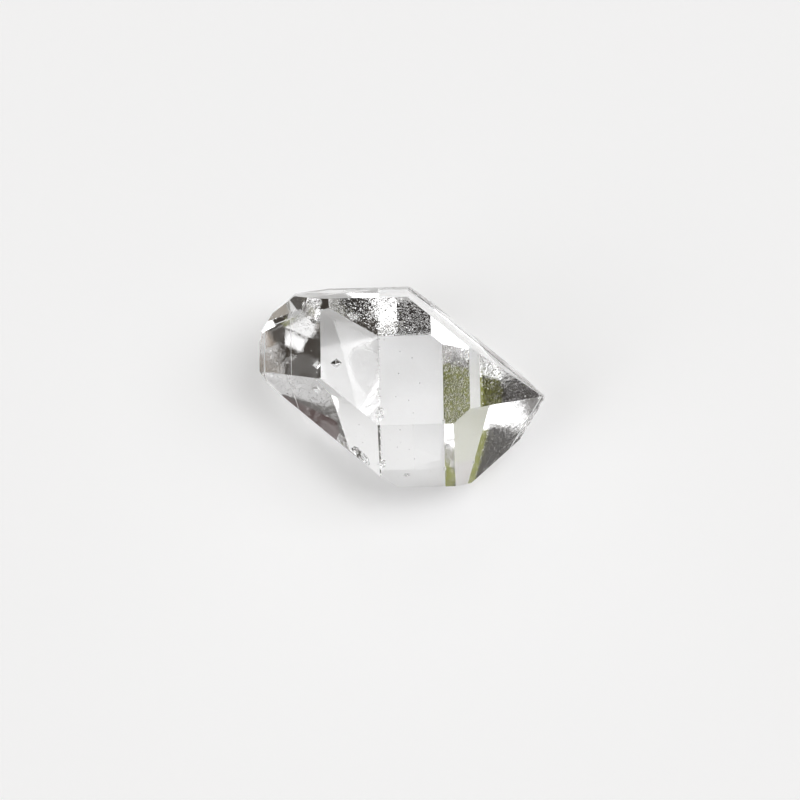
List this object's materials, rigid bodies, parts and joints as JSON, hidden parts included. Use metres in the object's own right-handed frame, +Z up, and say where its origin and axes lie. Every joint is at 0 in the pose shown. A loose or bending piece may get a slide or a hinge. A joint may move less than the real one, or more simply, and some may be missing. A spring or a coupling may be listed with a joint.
{
  "type": "herkimer diamond quartz crystal",
  "caption": "Loose clear quartz crystal with a faceted point at both ends, lying on one of its prism faces.",
  "frame": {"origin": "middle of the crystal's box, on the plane that it rests on", "axes": "+X along the crystal's long axis to its sharp end, +Y to its back, +Z up"},
  "size_m": [0.0222, 0.0166, 0.011],
  "materials": {
    "quartz": "water-clear natural quartz with bright flat growth faces and a few rough chips; refractive index 1.548"
  },
  "bodies": {
    "root": {"crystal": "quartz"}
  },
  "joints": []
}
